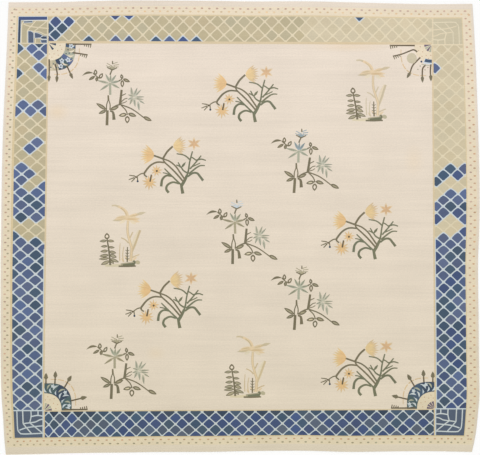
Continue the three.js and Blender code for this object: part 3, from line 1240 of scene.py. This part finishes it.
print("heights", round(heights.min(), 2), "to", round(heights.max(), 2), "mm")

# %% [markdown]
# The weave. The material takes each area's yarn from the mesh and adds what the eye reads as cloth:
# weft streaks along the rug's width where one bobbin ran out and the next began, a slow change of
# tone from end to end, lighter at the north end and darker and yellower at the south end, a few old
# stains, and ribs of warp under fine weft threads. Threads of mesh would be millions of faces, so they
# are bump. All of it is placed by Object coordinates, so it stays on the cloth.

# %% Start the yarn material
weave_look = bpy.data.materials.new("flat_weave")
weave_look.use_nodes = True
nodes, links = weave_look.node_tree.nodes, weave_look.node_tree.links
shader = nodes["Principled BSDF"]
coordinates = nodes.new("ShaderNodeTexCoord").outputs["Object"]
yarn = nodes.new("ShaderNodeAttribute")
yarn.attribute_name = "dye"


def node(kind, inputs, **settings):
    """A new node with its settings, and its inputs set to numbers or linked from other nodes."""
    made = nodes.new(kind)
    for name, value in settings.items():
        setattr(made, name, value)
    for name, value in inputs.items():
        if isinstance(value, bpy.types.NodeSocket):
            links.new(value, made.inputs[name])
        else:
            made.inputs[name].default_value = value
    return made


print("material", weave_look.name, "reads", yarn.attribute_name)

# %% Helpers for the finish
def noise(scale, detail):
    """Noise with a number of repeats to the metre along each axis."""
    stretched = node("ShaderNodeMapping", {"Vector": coordinates, "Scale": scale})
    inputs = {"Vector": stretched.outputs["Vector"], "Scale": 1, "Detail": detail}
    return node("ShaderNodeTexNoise", inputs).outputs["Fac"]


def ranged(value, low, high, start=0.0, end=1.0):
    """A value that runs from start to end, turned into one that runs from low to high."""
    inputs = {"Value": value, "From Min": start, "From Max": end, "To Min": low, "To Max": high}
    return node("ShaderNodeMapRange", inputs).outputs["Result"]


def multiplied(colour, factor):
    """A colour times a factor or another colour."""
    return node("ShaderNodeVectorMath", {0: colour, 1: factor}, operation="MULTIPLY").outputs["Vector"]


def tinted(colour, factor, start, end):
    """A colour times a tint that runs from start to end as the factor runs from 0 to 1."""
    mix = node("ShaderNodeMix", {"Factor": factor, "A": start, "B": end}, data_type="RGBA")
    return multiplied(colour, mix.outputs["Result"])


print("nodes so far", len(nodes))

# %% Streaks, mottling and threads in the colour
STREAKS = (  # repeats to the metre along x, y and z, detail, darkest, lightest
    ((0.5, 9.0, 1), 3, 0.965, 1.035),
    ((1.6, 85.0, 1), 3, 0.965, 1.035),
    ((2.2, 2.6, 1), 4, 0.965, 1.035),
    ((70.0, 110.0, 1), 2, 0.95, 1.05),
)
NOISE_SPAN = (0.25, 0.75)
colour = yarn.outputs["Color"]
for scale, detail, darkest, lightest in STREAKS:
    colour = multiplied(colour, ranged(noise(scale, detail), darkest, lightest, *NOISE_SPAN))
print("colour layers", len(STREAKS))

# %% Lighter towards the north end, darker and yellower towards the south end
# A tint along the rug's length: darker and yellower at the south end, lighter at the north end.
NORTH_END_TINT, SOUTH_END_TINT = (1.04, 1.045, 1.03, 1), (0.89, 0.90, 0.80, 1)
half_metres = HALF_LENGTH * CM
place = node("ShaderNodeSeparateXYZ", {"Vector": coordinates})
along = ranged(place.outputs["Y"], 0, 1, -half_metres, half_metres)
colour = tinted(colour, along, SOUTH_END_TINT, NORTH_END_TINT)
print("bleached towards the north end")

# %% Old stains
STAINS = (  # centre x and y, reach along x and y, all in metres, and strength
    (-1.63, 1.03, 0.12, 0.09, 0.5),
    (0.97, 1.61, 0.42, 0.05, 0.45),
    (1.55, 0.60, 0.10, 0.16, 0.25),
    (-0.75, -1.12, 0.10, 0.07, 0.3),
)
CLEAN, STAIN_TINT = (1, 1, 1, 1), (1.0, 0.9, 0.72, 1)
STAIN_HEART = 0.1
for x, y, reach_x, reach_y, strength in STAINS:
    inputs = {"Vector": coordinates, "Location": (x, y, 0), "Scale": (reach_x, reach_y, 1)}
    near = node("ShaderNodeMapping", inputs, vector_type="TEXTURE")
    length = node("ShaderNodeVectorMath", {0: near.outputs["Vector"]}, operation="LENGTH")
    share = ranged(length.outputs["Value"], strength, 0, STAIN_HEART, 1.0)
    colour = tinted(colour, share, CLEAN, STAIN_TINT)
links.new(colour, shader.inputs["Base Color"])
print("stains", len(STAINS))

# %% Warp ribs, weft threads and the finish
WARP_PITCH, WEFT_PITCH = 0.0045, 0.0013
WAVE_PERIOD = math.pi / 10
THREAD_RELIEF, THREAD_STRENGTH, THREAD_WANDER = 0.0004, 0.5, 0.6
WEFT_SHARE = 0.5
FUZZ, ROUGH = (40, 60, 1), (0.86, 0.98)
FINISH = {"Specular IOR Level": 0.15, "Sheen Weight": 0.08}


def threads(direction, pitch):
    """Even ridges across one direction at a thread pitch in metres."""
    inputs = {"Vector": coordinates, "Scale": WAVE_PERIOD / pitch, "Distortion": THREAD_WANDER}
    return node("ShaderNodeTexWave", inputs, bands_direction=direction).outputs["Fac"]


ridges = {0: threads("Y", WEFT_PITCH), 1: WEFT_SHARE, 2: threads("X", WARP_PITCH)}
relief = node("ShaderNodeMath", ridges, operation="MULTIPLY_ADD").outputs["Value"]
inputs = {"Strength": THREAD_STRENGTH, "Distance": THREAD_RELIEF, "Height": relief}
links.new(node("ShaderNodeBump", inputs).outputs["Normal"], shader.inputs["Normal"])
links.new(ranged(noise(FUZZ, 2), *ROUGH), shader.inputs["Roughness"])
for name, value in FINISH.items():
    shader.inputs[name].default_value = value
kilim.data.materials.clear()
kilim.data.materials.append(weave_look)
print("warp", WARP_PITCH * 1000, "mm, weft", WEFT_PITCH * 1000, "mm")

# %% [markdown]
# The studio. The rug lies on a plain pale floor under soft light from all round, with a soft sun lamp
# on one side so that the ripples and the weave have a little shade. The camera hangs straight above
# it, at the height where a long lens takes in the whole width.

# %% Floor and light
FLOOR_SIZE, FLOOR_DROP = 40.0, 0.0008
FLOOR_LOOK = {"Base Color": (0.97, 0.97, 0.965, 1), "Roughness": 0.9, "Specular IOR Level": 0.1}
SUN_HEIGHT, SUN_FROM, SUN_SPREAD = 55, 135, 40
SKY_LIGHT, SUN_LIGHT = 0.82, 0.75
bpy.ops.mesh.primitive_plane_add(size=FLOOR_SIZE, location=(0, 0, -FLOOR_DROP))
floor = bpy.context.object
floor.name = "studio_floor"
bpy.ops.object.transform_apply(location=True)
floor_look = bpy.data.materials.new("studio_floor")
floor_look.use_nodes = True
plain = floor_look.node_tree.nodes["Principled BSDF"]
for name, value in FLOOR_LOOK.items():
    plain.inputs[name].default_value = value
floor.data.materials.append(floor_look)
world = bpy.data.worlds.new("soft_studio")
bpy.context.scene.world = world
world.use_nodes = True
sky = world.node_tree.nodes["Background"]
sky.inputs["Color"].default_value = (1, 1, 1, 1)
sky.inputs["Strength"].default_value = SKY_LIGHT
turn = (math.radians(90 - SUN_HEIGHT), 0, math.radians(SUN_FROM - 270))
bpy.ops.object.light_add(type="SUN", location=(-3, 3, 5), rotation=turn)
lamp = bpy.context.object
lamp.name = "soft_lamp"
lamp.data.energy = SUN_LIGHT
lamp.data.angle = math.radians(SUN_SPREAD)
print("floor", FLOOR_SIZE, "m")

# %% Camera straight above
LENS, SENSOR, MARGIN = 100.0, 36.0, 1.002
view_width = (cad_high[0] - cad_low[0]) * MARGIN
height = cad_high[2] + view_width * LENS / SENSOR
bpy.ops.object.camera_add(location=(0, 0, height), rotation=(0, 0, 0))
camera = bpy.context.object
camera.data.lens = LENS
camera.data.sensor_width = SENSOR
camera.data.sensor_fit = "HORIZONTAL"
bpy.context.scene.camera = camera
bpy.context.scene.view_settings.view_transform = "Standard"
print("camera", round(camera.location.z, 2), "m up")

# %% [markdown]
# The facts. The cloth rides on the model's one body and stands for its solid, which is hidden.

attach(kilim, "root")
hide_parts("kilim")
